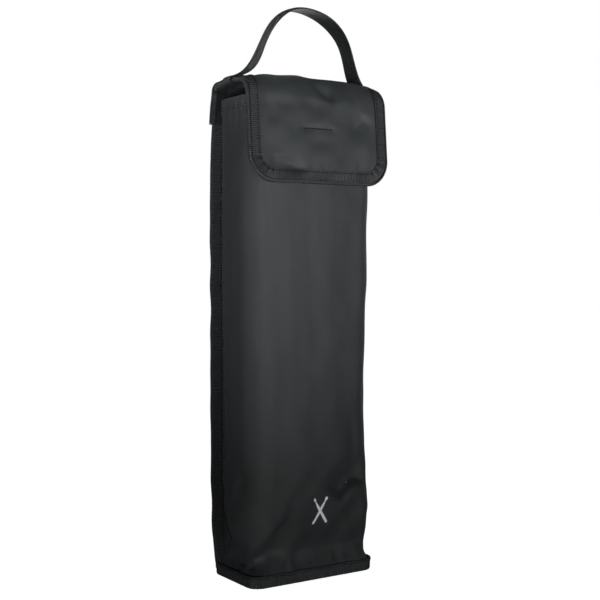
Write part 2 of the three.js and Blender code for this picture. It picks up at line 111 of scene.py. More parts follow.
# Half the wall's plan, measured along the cloth: half the front, one corner, one side. Near its end the
# side turns in towards the seam.
FRONT_SPAN = 47.5
ARC_SPAN = 22.0
SIDE_SPAN = 48.0
WALL_SPAN = FRONT_SPAN + ARC_SPAN + SIDE_SPAN
SIDE_END_Y = 29.6
SEAM_TUCK = 4.0
SEAM_TUCK_Y = 13.0

# The back and flap are one sheet: up the back, over, and down as the leaf, which leans out by LEAN.
BACK_FOLD_RADIUS = 6.0
BACK_FOLD_STEPS = 12
SHEET_LOW_Z = 9.0
TOP_Z = 429.5
FRONT_FOLD_RADIUS = 16.0
FRONT_FOLD_STEPS = 24
FRONT_FOLD_Y = -21.0
LEAN = math.radians(4.5)
LEAF_LENGTH = 70.0
LEAF_HALF = 70.0
LEAF_CORNER = 22.0
CROWN = 7.6
CROWN_HALF = 71.5

# ---- Small helpers ----


def smooth(x, low, high):
    """0 at low, 1 at high, with soft ends."""
    share = np.clip((np.asarray(x, float) - low) / (high - low), 0, 1)
    return share * share * (3 - 2 * share)


def within(x, low, high, falls_at, gone_at):
    """0 outside and 1 inside a span, rising from low to high and falling from falls_at to gone_at."""
    return smooth(x, low, high) * (1 - smooth(x, falls_at, gone_at))


def bump(x, centre, width):
    """A bell curve with its top at 1."""
    return np.exp(-((x - centre) / width) ** 2)


def hill(x, half, centre=0.0, power=2):
    """A rise from 0 at half its width on either side to 1 at its centre."""
    return np.clip(1 - ((x - centre) / half) ** power, 0, 1)


def unit(vectors):
    return vectors / np.maximum(np.linalg.norm(vectors, axis=-1, keepdims=True), 1e-9)


def waves(u, v, seed, count, u_lengths, v_lengths):
    """Slow irregular undulation between about -1 and 1, from a few sine waves with seeded directions."""
    draw = np.random.default_rng(seed)
    total = np.zeros(np.broadcast(u, v).shape)
    for _ in range(count):
        u_turns = 2 * math.pi / draw.uniform(*u_lengths)
        v_turns = 2 * math.pi / draw.uniform(*v_lengths) * draw.choice([-1, 1])
        total += np.sin(u * u_turns + v * v_turns + draw.uniform(0, 2 * math.pi))
    return total / math.sqrt(count)


def dents(u, v, rows):
    """Soft hollows and swellings: each row is u, v, width along u, width along v, height."""
    total = np.zeros(np.broadcast(u, v).shape)
    for at_u, at_v, width_u, width_v, height in rows:
        total += height * bump(u, at_u, width_u) * bump(v, at_v, width_v)
    return total


def crease(u, v, points, depth, left, right, fades=(0.35, 0.35)):
    """A fold pressed in along points. left and right are its widths on the two sides of the walk along it,
    and fades the shares of its length over which it comes and goes."""
    nearest = np.full(np.broadcast(u, v).shape, 1e9)
    height = np.zeros(nearest.shape)
    count = len(points) - 1
    for i in range(count):
        (u0, v0), (u1, v1) = points[i], points[i + 1]
        du, dv = u1 - u0, v1 - v0
        along = np.clip(((u - u0) * du + (v - v0) * dv) / (du * du + dv * dv), 0, 1)
        off_u, off_v = u - u0 - along * du, v - v0 - along * dv
        distance = np.hypot(off_u, off_v)
        width = np.where(du * off_v - dv * off_u > 0, left, right)
        share = (i + along) / count
        strength = smooth(share, -0.01, fades[0]) * smooth(1 - share, -0.01, fades[1])
        here = -depth * strength * np.exp(-(distance / width) ** 2)
        closer = distance < nearest
        nearest = np.where(closer, distance, nearest)
        height = np.where(closer, here, height)
    return height


def surface_normals(surface, u, v):
    """Outward normals of a surface given as a function of two numbers."""
    step = 0.4
    along_u = surface(u + step, v) - surface(u - step, v)
    along_v = surface(u, v + step) - surface(u, v - step)
    return unit(np.cross(along_u, along_v))


def runs_along(points):
    """How far along a polyline each of its points is."""
    return np.concatenate([[0], np.cumsum(np.linalg.norm(np.diff(points, axis=0), axis=1))])


def place_at(at, run, points):
    """The place at a run along a polyline whose points are at the runs in run."""
    return np.stack([np.interp(at, run, points[:, k]) for k in range(points.shape[1])], axis=-1)


def resample(points, step):
    """The polyline again, with points about step apart."""
    points = np.asarray(points, float)
    run = runs_along(points)
    count = max(2, int(round(run[-1] / step)) + 1)
    return place_at(np.linspace(0, run[-1], count), run, points)


def soften(points, rounds):
    """Averages a polyline's inner points with their neighbours."""
    points = np.array(points, float)
    for _ in range(rounds):
        points[1:-1] = points[1:-1] * 0.5 + (points[:-2] + points[2:]) * 0.25
    return points


# ---- Pieces ----

SHARP_ANGLE = math.radians(52)


def make_piece(name, points, faces, material, bodies, replaces, ridge=None):
    """Makes one mesh from points in mm, and lets it ride on its body; a piece given two bodies is left
    unparented where it stands.
    ridge is each point's place between a rib's valley (0) and its top (1), which its material turns into
    painted shade in the valleys and painted light on the tops."""
    mesh = bpy.data.meshes.new(name)
    mesh.from_pydata((np.asarray(points) * MM + np.array(BASE)).tolist(), [], faces)
    mesh.update()
    shaper = bmesh.new()
    shaper.from_mesh(mesh)
    bmesh.ops.recalc_face_normals(shaper, faces=shaper.faces)
    shaper.to_mesh(mesh)
    shaper.free()
    if ridge is not None:
        mesh.attributes.new("ridge", "FLOAT", "POINT").data.foreach_set("value", ridge.astype(np.float32))
    mesh.shade_smooth()
    mesh.set_sharp_from_angle(angle=SHARP_ANGLE)
    mesh.materials.append(material)
    piece = bpy.data.objects.new(name, mesh)
    bpy.context.scene.collection.objects.link(piece)
    if len(bodies) == 1:
        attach(piece, bodies[0])
    else:
        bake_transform(piece)
    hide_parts(*replaces)


def grid_faces(rows, cols, first, loop):
    """Quads over a grid of points, numbered row by row from first."""
    last_row = rows if loop else rows - 1
    i, j = np.meshgrid(np.arange(last_row), np.arange(cols - 1), indexing="ij")
    a = (first + i * cols + j).ravel()
    b = (first + ((i + 1) % rows) * cols + j).ravel()
    return np.stack([a, a + 1, b + 1, b], axis=1).tolist()


def rim_faces(line_a, line_b):
    """Quads that join two lines of point numbers."""
    return [
        [int(line_a[k]), int(line_a[k + 1]), int(line_b[k + 1]), int(line_b[k])]
        for k in range(len(line_a) - 1)
    ]


def make_sheet(name, outer, inner, material, bodies, replaces, loop=False, ribbed=False):
    """A closed sheet between two grids of points. With loop its rows go round and meet.
    The rows of a ribbed sheet are RIB_STEP apart."""
    rows, cols = outer.shape[:2]
    size = rows * cols
    numbers = np.arange(size).reshape(rows, cols)
    faces = grid_faces(rows, cols, 0, loop) + grid_faces(rows, cols, size, loop)
    around = np.arange(rows + 1) % rows if loop else np.arange(rows)
    for column in (0, cols - 1):
        line = numbers[around, column]
        faces += rim_faces(line, line + size)
    if not loop:
        for row in (0, rows - 1):
            faces += rim_faces(numbers[row], numbers[row] + size)
    points = np.concatenate([outer.reshape(-1, 3), inner.reshape(-1, 3)])
    ridge = np.tile(np.repeat(ribs(rows, 1.0), cols), 2) if ribbed else None
    make_piece(name, points, faces, material, bodies, replaces, ridge)


def stitch_faces(first):
    """The faces of one stitch whose points are numbered ring by ring from first."""
    sides = STITCH_SIDES
    rings = len(STITCH_RINGS)
    faces = []
    for r in range(rings - 1):
        for s in range(sides):
            a = first + r * sides + s
            b = first + r * sides + (s + 1) % sides
            faces.append([a, b, b + sides, a + sides])
    faces.append([first + s for s in range(sides)])
    faces.append([first + (rings - 1) * sides + s for s in reversed(range(sides))])
    return faces


def make_threads(name, runs, bodies, replaces, radius=0.36, pitch=STITCH_PITCH, fill=0.72):
    """Rows of stitches. Each run is a line of points with the cloth's normals there, and fill is the share
    of the pitch that a stitch takes up."""
    points, faces = [], []
    for line, normals in runs:
        run = runs_along(line)
        count = max(1, int(run[-1] / pitch))
        spacing = run[-1] / count
        for k in range(count):
            faces += stitch_faces(len(points))
            for share, size, rise in STITCH_RINGS:
                at = spacing * (k + (1 - fill) / 2 + fill * share)
                along = unit(place_at(at + 0.5, run, line) - place_at(at - 0.5, run, line))
                side = unit(np.cross(along, place_at(at, run, normals)))
                up = np.cross(side, along)
                centre = place_at(at, run, line) + up * rise * radius
                for s in range(STITCH_SIDES):
                    turn = 2 * math.pi * s / STITCH_SIDES
                    points.append(centre + radius * size * (side * math.cos(turn) + up * math.sin(turn)))
    make_piece(name, np.array(points), faces, thread, bodies, replaces)


def ribs(rows, height):
    """The height of ribs that run across a tape, for rows RIB_STEP apart."""
    phase = np.arange(rows) * RIB_STEP / RIB_PITCH
    return height * (0.5 + 0.5 * np.cos(2 * math.pi * phase))


def folded_tape(edge, front, back, stack, legs):
    """A tape folded round an edge: its outer and inner grids.

    edge is the line it is folded on. front and back hold the direction of each leg and that leg's outward
    normal, row by row. stack is half the cloth's thickness between the legs, and legs their two lengths.
    """
    front_in, front_out = front
    back_in, back_out = back
    away = unit(-(front_in + back_in))
    across = unit(front_out - (front_out * away).sum(-1, keepdims=True) * away)
    start = np.arctan2((front_out * across).sum(-1), (front_out * away).sum(-1))
    end = np.arctan2((back_out * across).sum(-1), (back_out * away).sum(-1))
    height = ribs(len(edge), RIB_HEIGHT)
    grids = []
    for lift in (stack + TAPE + height, stack + 0 * height):
        raised = lift[:, None]
        columns = []
        for k in range(FOLD_STEPS):
            run = legs[0] * (1 - k / FOLD_STEPS)
            columns.append(edge + front_in * run + front_out * raised)
        for k in range(FOLD_STEPS + 1):
            turn = (start + (end - start) * k / FOLD_STEPS)[:, None]
            columns.append(edge + (away * np.cos(turn) + across * np.sin(turn)) * raised)
        for k in range(1, FOLD_STEPS + 1):
            columns.append(edge + back_in * legs[1] * k / FOLD_STEPS + back_out * raised)
        grids.append(np.stack(columns, axis=1))
    return grids


# ---- The wrapped wall ----
#
# Its places are t, the run along the cloth from the middle of the front, to the right, and the height z.
# The numbers here are places, widths and heights in mm, chosen by comparing renders with the photograph.


def corner_radius(t, z):
    """The front corners are soft, and the right one is pressed in round the middle of its lower half."""
    left = 19 + 3 * bump(z, 210, 130)
    right = 12 + 7 * bump(z, 152, 62) + 2 * bump(z, 250, 40)
    foot = smooth(z, 6, 26)
    return 10 + (np.where(t < 0, left, right) - 10) * foot


# Where the folds of the left front corner meet.
PINCH = (-75.0, 14.0)


def wall_swell(t, z):
    """How far the padded wall stands out from its plan."""
    a = np.abs(t)
    free = smooth(z, 14, 60) * smooth(MOUTH_Z - z, 2, 95)
    sewn = smooth(WALL_SPAN - a, 0, 16)
    over_ring = 1 - smooth(z, 11, 17)
    return 4.8 * hill(t, 60) * free + 2.4 * hill(a, 32, 88) * free * sewn + 0.9 * over_ring


def wall_tuck(t, z):
    """Above the base ring the wall is drawn in, most of all on the front."""
    low = -4.6 * bump(z, 26, 10.5) * (0.35 + 0.65 * hill(np.abs(t), 62, power=4))
    slack = -2.2 * bump(z, 40, 17) * hill(t, 44, 8)
    return low + slack


# Each crease's points, depth, two widths and fades, as crease() takes them.
WALL_CREASES = (
    # The two long folds that meet in the pinch at the left corner of the base.
    (((-113, 84), (-107, 66), (-100, 50), (-91, 36), (-82, 24), (-75, 13)), 7.0, 3.0, 22.0, (0.2, 0.1)),
    (((-24, 66), (-32, 56), (-41, 46), (-50, 31), (-63, 20), (-74, 13)), 6.5, 15.0, 4.5, (0.45, 0.1)),
    # The swollen fold between those two.
    (((-84, 110), (-82, 70), (-76, 42), (-73, 22)), -3.0, 9.0, 9.0, (0.5, 0.3)),
    # The hollow beside the left seam that runs down into them.
    (((-110, 235), (-108, 180), (-107, 120), (-108, 70)), 2.6, 9.0, 5.0, (0.4, 0.3)),
    # The short fold at the right edge, and a faint one down from it.
    (((22, 66), (27, 75), (33, 81), (42, 85), (58, 82)), 8.0, 17.0, 4.0, (0.3, 0.2)),
    (((27, 74), (36, 52), (47, 32), (55, 14)), 1.5, 9.0, 4.5, (0.3, 0.2)),
    # Small folds along the base ring.
    (((66, 8), (55, 24), (40, 31)), 1.4, 4.0, 7.0, (0.2, 0.6)),
    (((78, 8), (72, 30), (74, 54)), 1.4, 5.0, 8.0, (0.2, 0.6)),
    (((105, 8), (92, 34), (84, 62)), 1.6, 4.0, 12.0, (0.2, 0.6)),
    (((-8, 8), (-20, 22), (-36, 28)), 1.0, 4.0, 6.0, (0.2, 0.6)),
    (((18, 8), (24, 22), (19, 33)), 0.9, 4.0, 5.0, (0.2, 0.6)),
    # A dimple on the left corner, and long shallow folds higher up.
    (((-60, 93), (-70, 88), (-80, 90)), 1.3, 5.0, 5.0, (0.4, 0.4)),
    (((60, 262), (68, 228), (66, 190), (57, 155)), 1.8, 9.0, 7.0, (0.4, 0.4)),
    (((88, 305), (78, 270), (76, 232)), 1.2, 6.0, 8.0, (0.4, 0.4)),
    (((-114, 334), (-100, 318), (-90, 296)), 0.9, 5.0, 7.0, (0.2, 0.6)),
    (((-114, 214), (-100, 196), (-92, 166)), 0.9, 6.0, 8.0, (0.2, 0.6)),
    (((-114, 134), (-102, 118), (-96, 96)), 1.0, 5.0, 8.0, (0.2, 0.6)),
)


def wall_creases(t, z):
    """All the wall's creases, shallower where the cloth is held by the ring."""
    return sum(crease(t, z, *row) for row in WALL_CREASES) * (0.4 + 0.6 * smooth(z, 8, 15))


WALL_DENTS = (
    (46, 118, 10, 30, -2.8), (36, 150, 12, 30, -0.7), (-70, 50, 8, 20, 2.0), (-66, 92, 5, 6, -0.8),
    (8, 42, 26, 12, -0.9), (-20, 120, 14, 34, 0.7), (14, 200, 10, 60, 0.7), (-34, 260, 9, 70, 0.6),
    (34, 300, 10, 55, -0.6), (-8, 300, 8, 60, -0.5), (-52, 180, 8, 60, 0.6), (22, 96, 14, 16, 1.0),
    (-92, 250, 9, 60, -0.7), (92, 250, 9, 60, -0.7), (-90, 90, 9, 26, 0.8), (54, 60, 8, 14, 1.3),
)


def wall_wrinkles(t, z):
    """Slow streaks down the cloth, small puckers along the seams and folds that fan out from the pinch."""
    a = np.abs(t)
    free = smooth(z, 14, 40) * smooth(MOUTH_Z - z, 8, 40)
    streaks = 0.05 * waves(t, z, 3, 6, (15, 34), (190, 520)) * free
    streaks = streaks + 0.12 * waves(t, z, 4, 8, (20, 46), (26, 70)) * free
    slow = 0.40 * waves(t, z, 5, 5, (50, 130), (70, 150)) * free * smooth(WALL_SPAN - a, 0, 20)
    low = 0.45 * waves(t, z, 8, 6, (20, 44), (24, 50)) * within(z, 12, 20, 60, 130)
    seam = 0.36 * waves(t, z, 9, 5, (40, 90), (11, 21)) * smooth(a, 92, 106) * smooth(WALL_SPAN - a, 2, 10)
    hem = 0.35 * waves(t, z, 12, 5, (9, 17), (60, 120)) * bump(z, HEM_LOW_Z - 3, 9)
    foot = 0.32 * waves(t, z, 14, 5, (8, 16), (40, 90)) * bump(z, 15, 6)
    from_pinch = np.hypot(t - PINCH[0], z - PINCH[1])
    angle = np.arctan2(z - PINCH[1], t - PINCH[0])
    fan = 1.0 * np.cos(7 * angle + 0.6) * np.exp(-from_pinch / 9) * smooth(from_pinch, 0.5, 5)
    knot = fan - 1.3 * np.exp(-((from_pinch / 5) ** 2))
    return streaks + slow + low + seam + hem + foot + knot * smooth(z, 8, 15)


def wall_out(t, z):
    """How far out the wall's face is from its plan."""
    shape = wall_swell(t, z) + wall_tuck(t, z) + wall_creases(t, z)
    return shape + dents(t, z, WALL_DENTS) + wall_wrinkles(t, z)


def wall_plan(t, z):
    """A point of the plain plan at run t along the cloth and height z, and the plan's outward direction."""
    a = np.abs(t)
    side_sign = np.where(t < 0, -1.0, 1.0)
    radius = corner_radius(t, z)
    on_front = np.clip(a / FRONT_SPAN, 0, 1)
    turn = np.clip((a - FRONT_SPAN) / ARC_SPAN, 0, 1) * math.pi / 2
    on_side = np.clip((a - FRONT_SPAN - ARC_SPAN) / SIDE_SPAN, 0, 1)
    x = on_front * (HALF_WIDTH - radius) + radius * np.sin(turn)
    y = FRONT_Y + radius * (1 - np.cos(turn)) + on_side * (SIDE_END_Y - FRONT_Y - radius)
    tuck = np.clip((y - SEAM_TUCK_Y) / (SIDE_END_Y - SEAM_TUCK_Y), 0, 1) * smooth(z, 8, 24)
    x = x - SEAM_TUCK * tuck ** 2
    slope = 2 * SEAM_TUCK * tuck / (SIDE_END_Y - SEAM_TUCK_Y)
    out_x = np.sin(turn)
    out_y = -np.cos(turn) + slope
    size = np.hypot(out_x, out_y)
    return side_sign * x, y, side_sign * out_x / size, out_y / size


def wall(t, z, depth=0.0):
    """The wall's cloth at a depth below its face."""
    t, z = np.broadcast_arrays(np.asarray(t, float), np.asarray(z, float))
    x, y, out_x, out_y = wall_plan(t, z)
    lift = wall_out(t, z) - depth
    return np.stack([x + out_x * lift, y + out_y * lift, z], axis=-1)


def wall_grid(t_reach, low_z, high_z, t_step, z_step):
    """Even columns and rows over the wall."""
    t = np.linspace(-t_reach, t_reach, int(2 * t_reach / t_step) + 1)
    z = np.linspace(low_z, high_z, int((high_z - low_z) / z_step) + 1)
    return np.meshgrid(t, z)


def clear_of_pinch(t, z):
    """The layers inside don't follow the outer cloth's tight folds by the base."""
    near = np.exp(-(np.hypot(t - PINCH[0], z - PINCH[1]) / 22) ** 2)
    return 4.5 * near + 1.5 * (1 - smooth(z, 16, 60))


def make_wall():
    t, z = wall_grid(WALL_SPAN, 5, MOUTH_Z - 0.6, 1.9, 2.2)
    make_sheet("wall_cloth", wall(t, z), wall(t, z, SHELL), nylon, ["bag"], ["front_wrap"])

    t, z = wall_grid(WALL_SPAN - 9, 13, MOUTH_Z - 12, 4, 5)
    pad = [wall(t, z, depth + clear_of_pinch(t, z)) for depth in PAD_DEPTHS]
    make_sheet("wall_pad", *pad, foam, ["bag"], ["front_foam"])

    t, z = wall_grid(WALL_SPAN - 7, 13.5, MOUTH_Z - 2, 3, 3.5)
    outward = 2.5 * smooth(z, MOUTH_Z - 12, MOUTH_Z - 5)
    ripple = 0.25 * waves(t, z, 21, 5, (14, 40), (60, 200))
    inner = [wall(t, z, depth - outward - ripple + clear_of_pinch(t, z)) for depth in LINING_DEPTHS]
    make_sheet("wall_inner_cloth", *inner, lining, ["bag"], ["front_lining"])


def turned_face(t, outside_depth, inside_depth, radius):
    """One face of the mouth's facing: up outside the wall, over its top edge and down inside it."""
    top = np.full(t.shape, MOUTH_Z - 0.4)
    edge = wall(t, top, 0.9)
    normals = surface_normals(wall, t, top)
    up = np.array([0.0, 0.0, 1.0])
    rows = 12
    heights = [MOUTH_Z - 1 - (MOUTH_Z - HEM_LOW_Z) * k / rows for k in range(1, rows + 1)]
    outside = [wall(t, z, outside_depth) for z in reversed(heights)]
    inside = [wall(t, z, inside_depth) for z in heights]
    turns = np.linspace(0, math.pi, 7)
    over = [edge + (normals * math.cos(turn) + up * math.sin(turn)) * radius for turn in turns]
    return np.stack(outside + over + inside)


def make_mouth():
    """The mouth's facing, turned over the wall's top edge and sewn down with two rows of stitches."""
    t = np.linspace(-WALL_SPAN + 6, WALL_SPAN - 6, 240)
    faces = turned_face(t, -1.15, 2.1, 1.75), turned_face(t, -0.1, 1.4, 0.9)
    make_sheet("mouth_facing", *faces, nylon, ["bag"], ["mouth_hem"])
    runs = []
    for z in (HEM_LOW_Z + 1.8, HEM_LOW_Z + 4.2):
        row = np.full(t.shape, z)
        runs.append((wall(t, row, -1.2), surface_normals(wall, t, row)))
    make_threads("mouth_stitches", runs, ["bag"], ["hem_thread"], radius=0.28)


# ---- The back, which carries on as the flap ----


def sheet_profile():
    """The side view of the back and flap: lines and arcs of y and z, from the floor to the leaf's end."""
    points = [(BACK_Y, SHEET_LOW_Z), (BACK_Y, TOP_Z - BACK_FOLD_RADIUS)]
    for k in range(1, BACK_FOLD_STEPS + 1):
        turn = math.pi / 2 * k / BACK_FOLD_STEPS
        points.append((
            BACK_Y - BACK_FOLD_RADIUS * (1 - math.cos(turn)),
            TOP_Z - BACK_FOLD_RADIUS * (1 - math.sin(turn)),
        ))
    points.append((FRONT_FOLD_Y, TOP_Z))
    for k in range(1, FRONT_FOLD_STEPS + 1):
        turn = (math.pi / 2 - LEAN) * k / FRONT_FOLD_STEPS
        points.append((
            FRONT_FOLD_Y - FRONT_FOLD_RADIUS * math.sin(turn),
            TOP_Z - FRONT_FOLD_RADIUS * (1 - math.cos(turn)),
        ))
    last_y, last_z = points[-1]
    points.append((last_y - LEAF_LENGTH * math.sin(LEAN), last_z - LEAF_LENGTH * math.cos(LEAN)))
    return np.array(points)


# Places along the sheet are s, the run from its low end, with x across it.
PROFILE = sheet_profile()
PROFILE_RUN = runs_along(PROFILE)
SHEET_END = PROFILE_RUN[-1]
BACK_END = PROFILE_RUN[1]
TOP_START = PROFILE_RUN[1 + BACK_FOLD_STEPS]
LEAF_START = PROFILE_RUN[-2]
# The sheet's pieces meet here: the one fixed to the bag, the one on the flap's top, and the leaf's.
BAG_END = BACK_END - 10
MIDDLE = TOP_START + 23


def sheet_half(s):
    """Half the width of the back and flap at run s: narrow at the ring and where the strap draws it in."""
    at = [0, 6, 30, 75, 340, 372, 402, BACK_END, TOP_START + 6, LEAF_START - 22, LEAF_START, SHEET_END + 9]
    half = [62.4, 63.4, 65.8, 67.3, 67.3, 66.2, 64.2, 62.6, 63.0, 69.0, LEAF_HALF, LEAF_HALF]
    return np.interp(s, at, half)


def crown(x, y, z):
    """The flap is higher in the middle of its width than at its sides."""
    rise = CROWN * (1 - np.minimum(1, np.abs(x) / CROWN_HALF) ** 3)
    back = 1 - 0.6 * np.clip((y - FRONT_FOLD_Y) / (30 - FRONT_FOLD_Y), 0, 1)
    return rise * back * smooth(z, 417, 431)


# Each crease's points are x and the height above the top of the leaf.
FLAP_CREASES = (
    (((-56, -60), (-46, -54), (-34, -54), (-20, -58), (-14, -61)), 2.6, 3.5, 8.0, (0.3, 0.3)),
    (((60, -22), (47, -13), (38, -21), (29, -36)), 2.4, 8.0, 4.0, (0.3, 0.4)),
    (((-60, -8), (-42, -2), (-18, -7)), 0.9, 7.0, 5.0, (0.3, 0.3)),
    (((-14, 21), (-3, 15), (6, 9), (13, 5), (19, 2)), 3.2, 8.0, 3.5, (0.5, 0.2)),
    (((52, 14), (40, 8), (34, -2)), 1.1, 4.0, 6.0, (0.3, 0.4)),
    (((-20, -24.3), (18, -24.3)), 1.1, 2.4, 3.2, (0.15, 0.15)),
)

# Each dent is x, the run down from the top of the leaf, two widths and a height.
FLAP_DENTS = (
    (8, -9, 15, 6, -1.9), (24, -15, 12, 5, -1.4), (-7, 3, 9, 5, -1.1), (-34, -6, 17, 7, 1.1),
    (40, 18, 9, 11, -1.5), (30, 33, 9, 8, -0.9), (50, 38, 8, 16, 1.0), (-2, 44, 26, 9, 0.9),
    (-38, 24, 14, 16, 1.0), (14, 22, 16, 12, 0.7), (-52, 4, 7, 12, -0.8),
)


def flap_out(x, s):
    """Swellings and dents of the back and flap, out from their plain profile."""
    a = np.abs(x)
    edge = smooth(SEAM_OUT_X - a, 0, 14)
    down = s - LEAF_START
    on_back = within(s, 12, 60, 330, 400)
    total = 1.5 * hill(x, 58) * on_back
    total += 0.3 * waves(x, s, 31, 6, (24, 60), (60, 240)) * on_back
    total += 0.25 * waves(x, s, 33, 5, (40, 90), (12, 22)) * smooth(a, 46, 58) * (1 - smooth(s, 380, 405))
    on_flap = smooth(s, TOP_START, TOP_START + 22)
    total += 0.5 * waves(x, s, 35, 6, (34, 90), (26, 60)) * on_flap * edge
    total += dents(x, down, FLAP_DENTS)
    total += sum(crease(x, -down, *row) for row in FLAP_CREASES)
    pull = 0.2 * waves(x, s, 37, 5, (9, 21), (40, 80)) * bump(down, 61, 8)
    return total + pull * (down > 30)


def flap(x, s, depth=0.0):
    """The sheet of the back and flap, at a depth below its outer face."""
    x, s = np.broadcast_arrays(np.asarray(x, float), np.asarray(s, float))
    inside = np.clip(s, 0, SHEET_END)
    beyond = s - inside
    middle = place_at(inside, PROFILE_RUN, PROFILE)
    y, z = middle[..., 0], middle[..., 1]
    before, after = [place_at(np.clip(s + step, 0, SHEET_END), PROFILE_RUN, PROFILE) for step in (-1, 1)]
    ahead = unit(after - before)
    dy, dz = ahead[..., 0], ahead[..., 1]
    out = flap_out(x, s) - depth
    lift = crown(x, y, z) + strap_lift(x, y, z)
    return np.stack([x, y + beyond * dy + dz * out, z + beyond * dz - dy * out + lift], axis=-1)


def strap_lift(x, y, z):
    """The strap pulls the flap's sides up a little at mid-depth, more on the right."""
    right = 2.6 * smooth(x, 44, 66)
    left = 1.0 * smooth(-x, 48, 66)
    return (right + left) * bump(y, -2, 15) * smooth(z, 424, 429)


def leaf_half(s):
    """Half the sheet's width with the leaf's round bottom corners."""
    below = np.clip(s - (SHEET_END - LEAF_CORNER), 0, LEAF_CORNER)
    return sheet_half(s) - LEAF_CORNER + np.sqrt(np.maximum(LEAF_CORNER ** 2 - below ** 2, 0))


def sheet_grid(low_s, high_s, s_step, columns, inset):
    """Rows along the sheet, each with its points spread over the sheet's width there."""
    if high_s < SHEET_END - 1:
        s = np.linspace(low_s, high_s, int((high_s - low_s) / s_step) + 1)
    else:
        straight = np.arange(low_s, SHEET_END - LEAF_CORNER, s_step)
        turn = np.linspace(0, math.pi / 2 - 0.12, 14)
        s = np.concatenate([straight, SHEET_END - LEAF_CORNER + LEAF_CORNER * np.sin(turn)])
    share = np.linspace(-1, 1, columns)
    half = leaf_half(s) - inset
    return half[:, None] * share[None, :], np.repeat(s[:, None], columns, axis=1)


def make_back_and_flap():
    """The outer cloth from the floor to the leaf's end, and the layers behind it."""
    shell = nylon, (0, SHELL)
    flap_lining = lining, (1.0, 1.5)
    back_lining = lining, (3.2, 3.7)
    padding = foam, (1.0, 2.9)
    lower, upper, leaf = ["bag"], ["bag", "flap_top"], ["flap_top", "flap_front"]
    # Each row's numbers are its two ends along the sheet, its step, its columns and its inset.
    layers = (
        ("back_cloth", "back_panel", shell, lower, (0, BAG_END, 2.6, 72, 1.0)),
        ("flap_back_cloth", "flap_top_panel", shell, upper, (BAG_END, MIDDLE, 1.3, 72, 1.0)),
        ("flap_leaf_cloth", "flap_front_panel", shell, leaf, (MIDDLE, SHEET_END, 1.8, 72, 1.0)),
        ("flap_back_inner", "flap_top_lining", flap_lining, upper, (BAG_END + 2, MIDDLE, 2.0, 48, 1.4)),
        ("flap_leaf_inner", "flap_front_lining", flap_lining, leaf, (MIDDLE, SHEET_END, 2.4, 48, 1.4)),
        ("back_pad", "back_foam", padding, lower, (8, BACK_END - 10, 5, 30, 8.5)),
        ("back_inner_cloth", "back_lining", back_lining, lower, (8, BACK_END - 4, 5, 30, 8.5)),
    )
    for name, node, (material, depths), bodies, spread in layers:
        x, s = sheet_grid(*spread)
        make_sheet(name, flap(x, s, depths[0]), flap(x, s, depths[1]), material, bodies, [node])


# ---- Tapes ----


def sheet_edge(side, low_s, high_s):
    """A line along one edge of the sheet, with its points RIB_STEP apart: x and s."""
    s = np.linspace(low_s, high_s, int(round((high_s - low_s) / RIB_STEP)) + 1)
    return side * sheet_half(s), s


def leaf_outline(inset=0.0):
    """The leaf's outline in x and s, from the left middle round its end to the right middle."""
    line = [(-sheet_half(s) + inset, s) for s in np.arange(MIDDLE, SHEET_END - LEAF_CORNER, 1.0)]
    radius = LEAF_CORNER - inset
    centre_x, centre_s = LEAF_HALF - LEAF_CORNER, SHEET_END - LEAF_CORNER
    for k in range(19):
        turn = math.pi / 2 * k / 18
        line.append((-centre_x - radius * math.cos(turn), centre_s + radius * math.sin(turn)))
    mirrored = [(-x, s) for x, s in reversed(line)]
    return resample(line + mirrored, RIB_STEP)


def tape_on_sheet(x, s, leg, gap, thick, flip):
    """A tape folded round the sheet's edge along the line x, s, with both legs lying on the cloth.
    With x to the right and s up the page, flip is 1 where the sheet is to the right of the walk along the
    line, and -1 where it is to the left."""
    along = unit(np.gradient(np.stack([x, s], axis=1), axis=0))
    in_x, in_s = along[:, 1] * flip, -along[:, 0] * flip
    middle = SHEET_THICK / 2
    edge = flap(x, s, middle)
    out = surface_normals(flap, x, s)
    away = unit(edge - flap(x + in_x, s + in_s, middle))
    away = unit(away - (away * out).sum(-1, keepdims=True) * out)
    height = ribs(len(x), RIB_HEIGHT)
    leg_steps = FOLD_STEPS + 1
    grids = []
    for lift in (gap + thick + height, gap + 0 * height):
        legs = [leg * k / leg_steps for k in range(leg_steps, 0, -1)]
        columns = [flap(x + in_x * run, s + in_s * run, -lift) for run in legs]
        for k in range(FOLD_STEPS + 1):
            turn = math.pi * k / FOLD_STEPS
            columns.append(edge + (out * math.cos(turn) + away * math.sin(turn)) * (middle + lift)[:, None])
        columns += [flap(x + in_x * run, s + in_s * run, SHEET_THICK + lift) for run in reversed(legs)]
        grids.append(np.stack(columns, axis=1))
    return grids


def make_flap_tapes():
    for side, word in ((-1, "left"), (1, "right")):
        x, s = sheet_edge(side, BAG_END, MIDDLE)
        grids = tape_on_sheet(x, s, TAPE_WIDTH, TAPE_GAP, TAPE, flip=-side)
        name, node = f"flap_side_tape_{word}", f"flap_top_binding_{word}"
        make_sheet(name, *grids, tape, ["bag", "flap_top"], [node], ribbed=True)
    bodies = ["flap_top", "flap_front"]
    grids = tape_on_sheet(*leaf_outline().T, TAPE_WIDTH, TAPE_GAP, TAPE, flip=1)
    make_sheet("flap_leaf_tape", *grids, tape, bodies, ["flap_front_binding"], ribbed=True)
    x, s = leaf_outline(TAPE_WIDTH - 1.8).T
    runs = [(flap(x, s, -1.25), surface_normals(flap, x, s))]
    make_threads("flap_leaf_stitches", runs, bodies, ["flap_binding_thread"], radius=0.42, pitch=2.8)


